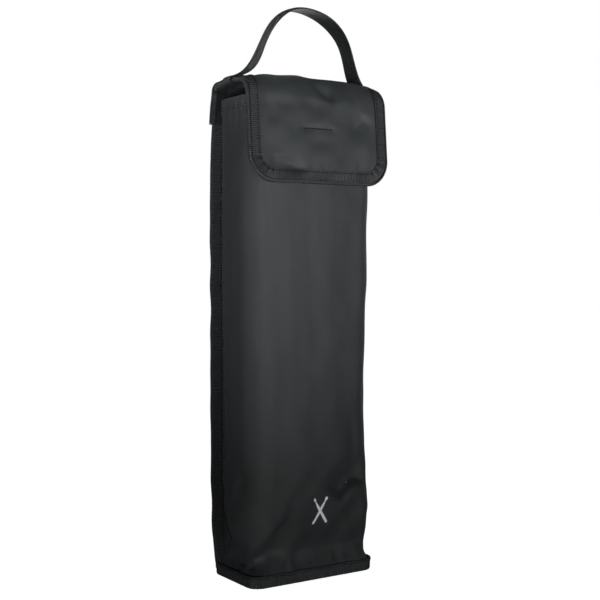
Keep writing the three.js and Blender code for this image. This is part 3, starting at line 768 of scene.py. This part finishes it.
def seam_edge(side, z):
    """The taped edge where the back and the wall meet, with a little waviness."""
    wave = 0.35 * waves(z, z, 41 + side, 4, (40, 90), (90, 200)) * within(z, 20, 60, 330, 380)
    half = sheet_half(z - SHEET_LOW_Z) - 0.4 + wave
    return np.stack([side * half, np.full(z.shape, SIDE_END_Y + 0.55), z], axis=1)


def make_seam_tapes():
    low_z = RING_HIGH[2] - 5
    high_z = float(flap(0.0, BAG_END)[2])
    z = np.linspace(low_z, high_z, int(round((high_z - low_z) / RIB_STEP)) + 1)
    for side, word in ((-1, "left"), (1, "right")):
        edge = seam_edge(side, z)
        # The front leg slants to lie on the wall, and the back leg is flat on the back.
        lean = 0.12 + 0.10 * within(z, 30, 70, 396, 418)
        front_in = unit(np.stack([-side * np.ones_like(z), -lean, np.zeros_like(z)], axis=1))
        front_out = unit(np.stack([side * lean, -np.ones_like(z), np.zeros_like(z)], axis=1))
        back_in = np.tile([-side, 0.0, 0.0], (len(z), 1))
        back_out = np.tile([0.0, 1.0, 0.0], (len(z), 1))
        legs = TAPE_WIDTH - 1, TAPE_WIDTH
        grids = folded_tape(edge, (front_in, front_out), (back_in, back_out), SEAM_STACK, legs)
        name, node = f"edge_tape_{word}", f"{word}_seam_binding"
        make_sheet(name, *grids, tape, ["bag"], [node], ribbed=True)
        run = TAPE_WIDTH - 2.6
        lift = SEAM_STACK + TAPE + RIB_HEIGHT
        line = edge + front_in * run + front_out * lift
        behind = edge + back_in * run + back_out * lift
        runs = [(line, front_out), (behind, back_out)]
        make_threads(f"edge_stitches_{word}", runs, ["bag"], [f"{word}_seam_thread"], radius=0.34)


# ---- The base ----


def ring_line():
    """The line that the base tape is folded on, round the foot of the walls, with outward directions."""
    inset = 1.6
    half = RING_HIGH[0] - inset
    front, back = RING_LOW[1] + inset, RING_HIGH[1] - inset
    corners = (
        (half, front, 9.5, -90), (half, back, 4.5, 0), (-half, back, 4.5, 90), (-half, front, 9.5, 180),
    )
    line = []
    for corner_x, corner_y, radius, start in corners:
        centre_x = corner_x - math.copysign(radius, corner_x)
        centre_y = corner_y - math.copysign(radius, corner_y)
        for k in range(9):
            turn = math.radians(start + 90 * k / 8)
            line.append((centre_x + radius * math.cos(turn), centre_y + radius * math.sin(turn)))
    line = resample(line + line[:1], RIB_STEP)[:-1]
    ahead = np.roll(line, -1, axis=0) - np.roll(line, 1, axis=0)
    outward = unit(np.stack([ahead[:, 1], -ahead[:, 0]], axis=1))
    return line, outward


def make_base_tape():
    """The tape round the foot of the walls, which stands on the floor, and its row of stitches."""
    line, outward = ring_line()
    turn = np.arange(len(line)) * RIB_STEP
    out = np.concatenate([outward, np.zeros((len(line), 1))], axis=1)
    wobble = 0.3 * waves(turn, turn, 51, 4, (30, 60), (50, 90))
    high = RING_HIGH[2] + 0.3 * waves(turn, turn, 53, 4, (20, 40), (30, 70))
    fold_z = 2.0
    edge = np.stack([line[:, 0], line[:, 1], np.full(len(line), fold_z)], axis=1)
    edge = edge + out * wobble[:, None] * 0.6
    up = np.tile([0.0, 0.0, 1.0], (len(line), 1))
    outer_in = unit(up + out * 0.05)
    grids = folded_tape(edge, (outer_in, out), (up, -out), BASE_STACK, (1.0, 8.0))
    # The outer leg reaches up to the ring's wavy top edge and leans out a little there.
    outer = slice(0, FOLD_STEPS + 1)
    share = np.linspace(1, 0, FOLD_STEPS + 1)[None, :]
    for grid in grids:
        grid[:, outer, 2] = fold_z + (high[:, None] - fold_z) * share
        grid[:, outer, :2] += outward[:, None, :] * 0.5 * (share ** 2)[:, :, None]
    make_sheet(
        "base_tape", *grids, tape, ["bag"], ["bottom_binding"], loop=True, ribbed=True,
    )
    row = edge.copy()
    row[:, 2] = high - 1.7
    row = row + out * (BASE_STACK + TAPE + RIB_HEIGHT + 0.42)
    make_threads("base_stitches", [(row, out)], ["bag"], ["bottom_seam_thread"])


def base_height(x, y):
    """The height of the base's cloth, which sags in the middle and is a little uneven."""
    return 9.6 - 1.5 * hill(x, 60) * hill(y, 30) + 0.15 * waves(x, y, 61, 6, (14, 40), (14, 40))


def base_grid(half_x, half_y, lift):
    """A nearly level sheet with blunt corners, centred under the bag, at a lift above the base's cloth."""
    u, v = np.meshgrid(np.linspace(-1, 1, 60), np.linspace(-1, 1, 34))
    blunt = (u * v) ** 6
    centre_y = (RING_LOW[1] + RING_HIGH[1]) / 2
    x = half_x * u * (1 - 0.05 * blunt)
    y = centre_y + half_y * v * (1 - 0.09 * blunt)
    return np.stack([x, y, base_height(x, y) + lift], axis=-1)


def make_base():
    """The base's cloth, its stiff board and the lining over that."""
    layers = (
        ("base_cloth", 61.3, 31.0, nylon, "bottom_panel", 0.0, 0.8),
        ("base_plate", 54.0, 24.5, board, "bottom_stiffener", 2.8, 4.4),
        ("base_inner_cloth", 57.0, 27.5, lining, "bottom_lining", 4.7, 5.2),
    )
    for name, half_x, half_y, material, node, low, high in layers:
        over, under = base_grid(half_x, half_y, high), base_grid(half_x, half_y, low)
        make_sheet(name, over, under, material, ["bag"], [node])


# ---- The strap ----

# The arch's middle line from its left foot to its right: x and z.
STRAP_LINE = (
    (-67, 433.4), (-62.5, 434.6), (-57.5, 436), (-52.5, 438.2), (-47.5, 441.6), (-42, 447.5), (-38.5, 455),
    (-35.5, 462), (-32, 469), (-27.5, 477.5), (-22.5, 485.5), (-14, 494), (-6, 499), (2, 501), (14, 500),
    (26, 497), (34.5, 493.5), (43, 487.5), (49, 481), (53.5, 475), (55.5, 468), (58, 461), (59.5, 454),
    (61.5, 447), (63.5, 441.5), (66, 437.2), (69.2, 434.4),
)


def make_strap_ends():
    """The strap's ends, folded round the taped edges from the back's corners forward to the arch's feet."""
    over_tape = TAPE_GAP + TAPE + RIB_HEIGHT
    thick = 1.2
    for side, word in ((-1, "left"), (1, "right")):
        x, s = sheet_edge(side, STRAP_END_Z - SHEET_LOW_Z, TOP_START + 34)
        grids = tape_on_sheet(x + side * 0.6, s, STRAP_HALF - 0.4, over_tape, thick, flip=-side)
        nodes = [f"handle_end_{word}", f"handle_foot_{word}"]
        make_sheet(
            f"strap_end_{word}", *grids, webbing, ["bag", "flap_top"], nodes, ribbed=True,
        )
        # Two rows of stitches cross each leg near the strap's cut end.
        face = grids[0]
        runs = []
        for row in (5, 9):
            for leg in (slice(0, FOLD_STEPS), slice(-FOLD_STEPS, None)):
                line = face[row, leg]
                onward = face[row + 1, leg] - line
                runs.append((line, unit(np.cross(np.gradient(line, axis=0), onward)) * side))
        make_threads(f"strap_tack_{word}", runs, ["bag"], [f"handle_tack_{word}"], radius=0.34, pitch=2.4)


def make_strap():
    """The carry handle's arch, a ribbed strap that bends in the X-Z plane and twists a little."""
    line = soften(resample(soften(STRAP_LINE, 1), 2.0), 12)
    line = resample(line, RIB_STEP)
    along = unit(np.gradient(line, axis=0))
    share = np.linspace(0, 1, len(line))
    across = np.linspace(-1, 1, 13)
    ridge = ribs(len(line), RIB_HEIGHT)
    twist = 0.12 * bump(share, 0.80, 0.12) - 0.15 * bump(share, 0.23, 0.13)
    twist += 0.04 * np.sin(5 * math.pi * share)
    drift = 1.2 * np.sin(math.pi * share) * np.sin(3 * share)
    cup = 0.5 * (1 - across ** 2)
    selvedge = 0.25 * (np.abs(across) > 0.8)
    grids = []
    for outward in (1, -1):
        lift = outward * (WEBBING / 2 + ridge[:, None] * 0.5 - selvedge[None, :]) + cup[None, :]
        turn_y = np.cos(twist)[:, None] * across[None, :] * STRAP_HALF + drift[:, None]
        tilt = np.sin(twist)[:, None] * across[None, :] * STRAP_HALF
        x = line[:, None, 0] - along[:, None, 1] * (lift + tilt)
        z = line[:, None, 1] + along[:, None, 0] * (lift + tilt)
        grids.append(np.stack([x, turn_y + 0 * x, z], axis=-1))
    bodies = ["flap_top", "handle"]
    make_sheet("carry_strap", *grids, webbing, bodies, ["handle_webbing"], ribbed=True)


# ---- Closure and print ----


def make_loop_pad():
    """The soft half of the closure, sewn round its edge to the wall behind the leaf."""
    t = np.linspace(LOOP_LOW[0], LOOP_HIGH[0], 49)
    z = np.linspace(LOOP_LOW[2], LOOP_HIGH[2], 33)
    t, z = np.meshgrid(t, z)
    pile = 0.22 * waves(t, z, 71, 9, (2.2, 4.5), (2.2, 4.5))
    faces = wall(t, z, -1.5 - pile), wall(t, z, -0.1)
    make_sheet("loop_pad", *faces, loops, ["bag"], ["loop_patch"])
    inset = 1.4
    low_t, high_t = LOOP_LOW[0] + inset, LOOP_HIGH[0] - inset
    low_z, high_z = LOOP_LOW[2] + inset, LOOP_HIGH[2] - inset
    corners = [(low_t, low_z), (high_t, low_z), (high_t, high_z), (low_t, high_z), (low_t, low_z)]
    t, z = resample(corners, 0.5).T
    runs = [(wall(t, z, -1.75), surface_normals(wall, t, z))]
    make_threads("loop_stitches", runs, ["bag"], ["loop_patch_thread"], radius=0.3, pitch=2.5)


def s_at_height(z):
    """The run along the leaf at which the sheet passes height z."""
    leaf_top_z = PROFILE[-2, 1]
    return LEAF_START + (leaf_top_z - z) / math.cos(LEAN)


def hook_rise(run):
    """The rise and fall of a row of hooks, from 0 to 1."""
    return 0.5 + 0.5 * np.cos(2 * math.pi * run / HOOK_PITCH)


def make_hook_pad():
    """The hooked half of the closure, behind the leaf, and its stitch line on the leaf's face."""
    bodies = ["flap_top", "flap_front"]
    top_s, low_s = s_at_height(HOOK_HIGH[2]), s_at_height(HOOK_LOW[2])
    x, s = np.meshgrid(np.linspace(HOOK_LOW[0], HOOK_HIGH[0], 61), np.linspace(top_s, low_s, 41))
    faces = flap(x, s, 1.6), flap(x, s, 2.9 + 0.3 * hook_rise(x) * hook_rise(s))
    make_sheet("hook_pad", *faces, hooks, bodies, ["hook_patch"])
    x = np.linspace(HOOK_LOW[0] - 1, HOOK_HIGH[0] - 1, 61)
    s = np.full(x.shape, s_at_height(HOOK_STITCH_Z))
    runs = [(flap(x, s, -0.15), surface_normals(flap, x, s))]
    make_threads("hook_stitches", runs, bodies, ["hook_patch_thread"], radius=0.8, pitch=3.4, fill=0.74)


def stick_half_width(run):
    """Half the width of a drumstick at run 0..1 from its butt to its tip."""
    shaft = 1.15 - 0.6 * smooth(run, 0.62, 0.88)
    tip = 1.35 * np.sqrt(np.clip(1 - ((run - 0.935) / 0.065) ** 2, 0, 1))
    butt = np.sqrt(np.clip(run / 0.03, 0, 1))
    return np.where(run > 0.88, np.maximum(tip, np.where(run < 0.9, shaft, 0.08)), shaft * butt)


def make_print():
    """A pair of crossed drumsticks printed on the wall."""
    centre_t = (MARK_LOW[0] + MARK_HIGH[0]) / 2
    centre_z = (MARK_LOW[2] + MARK_HIGH[2]) / 2
    length = 27.0
    run = np.linspace(0.002, 0.998, 90)
    across = np.linspace(-1, 1, 7)
    points, faces = [], []
    for tilt, lift in ((math.radians(32), 0.26), (math.radians(-32), 0.36)):
        half = stick_half_width(run)
        along = (run - 0.5) * length
        side = half[:, None] * across[None, :]
        t = centre_t - np.sin(tilt) * along[:, None] + np.cos(tilt) * side
        z = centre_z + np.cos(tilt) * along[:, None] + np.sin(tilt) * side
        first = len(points)
        rows, cols = t.shape
        points += wall(t, z, -lift).reshape(-1, 3).tolist()
        points += wall(t, z, -lift + 0.12).reshape(-1, 3).tolist()
        size = rows * cols
        faces += grid_faces(rows, cols, first, False) + grid_faces(rows, cols, first + size, False)
        numbers = first + np.arange(size).reshape(rows, cols)
        for line in (numbers[:, 0], numbers[:, -1], numbers[0], numbers[-1]):
            faces += rim_faces(line, line + size)
    make_piece("crossed_sticks", np.array(points), faces, ink, ["bag"], ["printed_mark"])


# ---- Materials ----


def new_material(name):
    """A material's node tree and its shader."""
    material = bpy.data.materials.new(name)
    material.use_nodes = True
    return material, material.node_tree, material.node_tree.nodes["Principled BSDF"]


def link(tree, source, output, target, socket):
    tree.links.new(source.outputs[output], target.inputs[socket])


def new_node(tree, kind, inputs=()):
    """A node with some of its inputs set, given as pairs of a socket and its value."""
    node = tree.nodes.new("ShaderNode" + kind)
    set_inputs(node, inputs)
    return node


def set_inputs(node, inputs):
    for socket, value in inputs:
        node.inputs[socket].default_value = value


def math_node(tree, operation, *sources):
    """A sum, product or sine of other nodes' outputs, each given as a node and its output's name."""
    node = new_node(tree, "Math")
    node.operation = operation
    for k, (source, output) in enumerate(sources):
        link(tree, source, output, node, k)
    return node


def place_vector(tree, scale=(1, 1, 1)):
    """Object coordinates, stretched by scale."""
    mapping = new_node(tree, "Mapping", [("Scale", scale)])
    link(tree, new_node(tree, "TexCoord"), "Object", mapping, "Vector")
    return mapping


def noise_node(tree, vector, scale, detail):
    node = new_node(tree, "TexNoise", [("Scale", scale), ("Detail", detail)])
    link(tree, vector, "Vector", node, "Vector")
    return node


def weave_height(tree, threads_per_m):
    """A plain weave seen from any side: two sets of threads multiplied together."""
    parts = new_node(tree, "SeparateXYZ")
    link(tree, new_node(tree, "TexCoord"), "Object", parts, "Vector")
    level = math_node(tree, "ADD", (parts, "X"), (parts, "Y"))
    sines = []
    for source, output in ((level, "Value"), (parts, "Z")):
        turns = math_node(tree, "MULTIPLY", (source, output))
        set_inputs(turns, [(1, threads_per_m * math.pi)])
        sines.append(math_node(tree, "SINE", (turns, "Value")))
    return math_node(tree, "MULTIPLY", (sines[0], "Value"), (sines[1], "Value"))


def mix_colours(tree, factor, output, dark, light, spread=(0.3, 0.7)):
    """Dark where the factor is below the spread, light above it, and a blend inside it."""
    ramp = new_node(tree, "ValToRGB")
    for element, colour, position in zip(ramp.color_ramp.elements, (dark, light), spread):
        element.color = (*colour, 1)
        element.position = position
    link(tree, factor, output, ramp, "Fac")
    return ramp


def bump_node(tree, height, output, strength, distance):
    node = new_node(tree, "Bump", [("Strength", strength), ("Distance", distance)])
    link(tree, height, output, node, "Height")
    return node


def cloth_material(name, dark, light, roughness, gloss, threads_per_m, streaks=(30, 30, 30)):
    """Woven cloth: uneven dye, uneven gloss, its weave and a fine crumple."""
    material, tree, shader = new_material(name)
    slow = noise_node(tree, place_vector(tree, streaks), 1.0, 4.0)
    colour = mix_colours(tree, slow, "Fac", dark, light)
    link(tree, colour, "Color", shader, "Base Color")
    shine = new_node(tree, "MapRange", [("To Min", roughness - 0.07), ("To Max", roughness + 0.07)])
    patches = noise_node(tree, place_vector(tree), 90.0, 5.0)
    link(tree, patches, "Fac", shine, "Value")
    link(tree, shine, "Result", shader, "Roughness")
    wrinkles = noise_node(tree, place_vector(tree, (1, 1, 0.5)), 220.0, 4.0)
    crumple = bump_node(tree, wrinkles, "Fac", 0.28, 0.0006)
    weave = bump_node(tree, weave_height(tree, threads_per_m), "Value", 0.5, 0.0001)
    link(tree, crumple, "Normal", weave, "Normal")
    link(tree, weave, "Normal", shader, "Normal")
    set_inputs(shader, [
        ("Sheen Weight", 0.04), ("Sheen Roughness", 0.45), ("Sheen Tint", (0.75, 0.86, 0.92, 1)),
        ("Specular IOR Level", gloss),
    ])
    return material


def rib_shaded_material(name, valley, top, roughness):
    """Ribbed tape or webbing: painted shade between its ribs and painted light on their tops, uneven along
    the yarn.
    """
    material, tree, shader = new_material(name)
    ridge = new_node(tree, "Attribute")
    ridge.attribute_name = "ridge"
    yarn = noise_node(tree, place_vector(tree), 900.0, 3.0)
    uneven = math_node(tree, "MULTIPLY", (ridge, "Fac"), (yarn, "Fac"))
    # Painted rib shading: the ridge share times the yarn noise runs from the valley colour, painted shade,
    # to the top colour, painted light.
    colour = mix_colours(tree, uneven, "Value", valley, top, (0.06, 0.55))
    link(tree, colour, "Color", shader, "Base Color")
    link(tree, bump_node(tree, yarn, "Fac", 0.6, 0.0004), "Normal", shader, "Normal")
    set_inputs(shader, [("Roughness", roughness), ("Specular IOR Level", 0.3)])
    return material


def flat_material(name, dark, light, roughness, grain_scale, grain_depth, gloss=0.3):
    """Foam, board, hooks, loops, ink and thread: a speckled colour and a fine grain."""
    material, tree, shader = new_material(name)
    grain = noise_node(tree, place_vector(tree), grain_scale, 4.0)
    colour = mix_colours(tree, grain, "Fac", dark, light)
    link(tree, colour, "Color", shader, "Base Color")
    link(tree, bump_node(tree, grain, "Fac", 0.5, grain_depth), "Normal", shader, "Normal")
    set_inputs(shader, [("Roughness", roughness), ("Specular IOR Level", gloss)])
    return material


nylon = cloth_material(
    "nylon", (0.0160, 0.0180, 0.0190), (0.0205, 0.0232, 0.0245), 0.58, 0.32, 2200, (45, 45, 6),
)
lining = cloth_material("lining", (0.010, 0.011, 0.012), (0.016, 0.017, 0.018), 0.66, 0.3, 2600)
# The two colours of tape and webbing are painted shade in the rib valleys and painted light on the rib
# tops.
tape = rib_shaded_material("tape", (0.0018, 0.0021, 0.0024), (0.034, 0.038, 0.041), 0.62)
webbing = rib_shaded_material("webbing", (0.0020, 0.0023, 0.0026), (0.020, 0.0225, 0.024), 0.56)
thread = flat_material("thread", (0.0025, 0.0028, 0.0032), (0.006, 0.007, 0.008), 0.7, 1400.0, 0.0002, 0.08)
foam = flat_material("foam", (0.22, 0.225, 0.23), (0.32, 0.33, 0.34), 0.95, 900.0, 0.0003)
board = flat_material("board", (0.05, 0.045, 0.04), (0.10, 0.09, 0.08), 0.85, 500.0, 0.0002)
hooks = flat_material("hooks", (0.006, 0.007, 0.008), (0.02, 0.021, 0.022), 0.55, 1800.0, 0.0005)
loops = flat_material("loops", (0.008, 0.009, 0.010), (0.028, 0.03, 0.031), 0.95, 1500.0, 0.0008)
ink = flat_material("ink", (0.66, 0.68, 0.69), (0.80, 0.82, 0.83), 0.55, 1600.0, 0.00008)

# ---- Build ----

make_wall()
make_mouth()
make_back_and_flap()
make_flap_tapes()
make_seam_tapes()
make_base_tape()
make_base()
make_strap_ends()
make_strap()
make_loop_pad()
make_hook_pad()
make_print()

# ---- Stage, light and camera ----


def make_floor():
    """A wide pale floor. The camera sees it nearly white, as a studio sweep lit from below looks."""
    far = 40.0
    mesh = bpy.data.meshes.new("floor")
    mesh.from_pydata([(-far, -far, 0), (far, -far, 0), (far, far, 0), (-far, far, 0)], [], [[0, 1, 2, 3]])
    floor = bpy.data.objects.new("floor", mesh)
    bpy.context.scene.collection.objects.link(floor)
    material, tree, shader = new_material("floor")
    grain = noise_node(tree, place_vector(tree), 3.0, 3.0)
    colour = mix_colours(tree, grain, "Fac", (0.46, 0.46, 0.46), (0.48, 0.48, 0.48))
    link(tree, colour, "Color", shader, "Base Color")
    set_inputs(shader, [("Roughness", 0.9), ("Emission Color", (1, 1, 1, 1))])
    link(tree, new_node(tree, "LightPath"), "Is Camera Ray", shader, "Emission Strength")
    mesh.materials.append(material)


# Name, place and aim in m, width and height in m, power in W and spread in degrees.
LIGHTS = (
    ("key", (-0.66, -0.85, 0.14), (-0.01, 0.0, 0.46), (0.6, 0.3), 1.2, 50),
    ("front", (0.27, -1.03, 0.14), (0.0, 0.0, 0.45), (0.6, 0.3), 1.05, 50),
    ("side", (-1.0, 0.1, 0.14), (-0.05, 0.0, 0.44), (0.6, 0.3), 0.38, 50),
    ("low", (-0.45, -0.95, 0.04), (0.0, 0.0, -0.02), (0.5, 0.1), 0.07, 8),
    ("strap", (-0.75, 0.35, 1.0), (-0.035, 0.0, 0.478), (0.1, 0.1), 0.045, 6),
    ("rim_right", (0.8, 0.4, 0.30), (0.05, 0.0, 0.25), (0.3, 0.9), 1.0, 180),
    ("back", (0.6, 1.1, 0.20), (0.02, 0.0, 0.22), (0.8, 0.3), 0.7, 60),
)


def add_light(name, place, aim, size, power, spread):
    lamp = bpy.data.lights.new(name, "AREA")
    lamp.spread = math.radians(spread)
    lamp.shape = "RECTANGLE"
    lamp.size, lamp.size_y = size
    lamp.energy = power
    light = bpy.data.objects.new(name, lamp)
    light.location = place
    light.rotation_mode = "QUATERNION"
    light.rotation_quaternion = (Vector(aim) - Vector(place)).to_track_quat("-Z", "Y")
    bpy.context.scene.collection.objects.link(light)


def make_world():
    """White where the camera sees it, and only a faint fill for the surfaces."""
    world = bpy.data.worlds.new("studio")
    world.use_nodes = True
    tree = world.node_tree
    seen = tree.nodes["Background"]
    set_inputs(seen, [("Color", (1, 1, 1, 1)), ("Strength", 1.0)])
    felt = new_node(tree, "Background", [("Color", (0.95, 0.98, 1.0, 1)), ("Strength", 0.03)])
    choose = new_node(tree, "MixShader")
    link(tree, new_node(tree, "LightPath"), "Is Camera Ray", choose, "Fac")
    link(tree, felt, "Background", choose, 1)
    link(tree, seen, "Background", choose, 2)
    link(tree, choose, "Shader", tree.nodes["World Output"], "Surface")
    bpy.context.scene.world = world


CAMERA_PLACE = Vector((-0.555, -0.850, 0.275))
CAMERA_TURN = math.radians(-33.4)
CAMERA_PITCH = math.radians(1.804)
CAMERA_LENS = 68.58


def make_camera():
    """The photograph's view: from the front left, a little above the middle, looking down slightly."""
    data = bpy.data.cameras.new("camera")
    data.lens = CAMERA_LENS
    data.sensor_width = 36
    camera = bpy.data.objects.new("camera", data)
    camera.location = CAMERA_PLACE + BASE
    level = math.cos(CAMERA_PITCH)
    ahead = (-math.sin(CAMERA_TURN) * level, math.cos(CAMERA_TURN) * level, -math.sin(CAMERA_PITCH))
    camera.rotation_mode = "QUATERNION"
    camera.rotation_quaternion = Vector(ahead).to_track_quat("-Z", "Y")
    bpy.context.scene.collection.objects.link(camera)
    bpy.context.scene.camera = camera


make_floor()
make_world()
for row in LIGHTS:
    add_light(*row)
make_camera()
bpy.context.scene.view_settings.view_transform = "Standard"
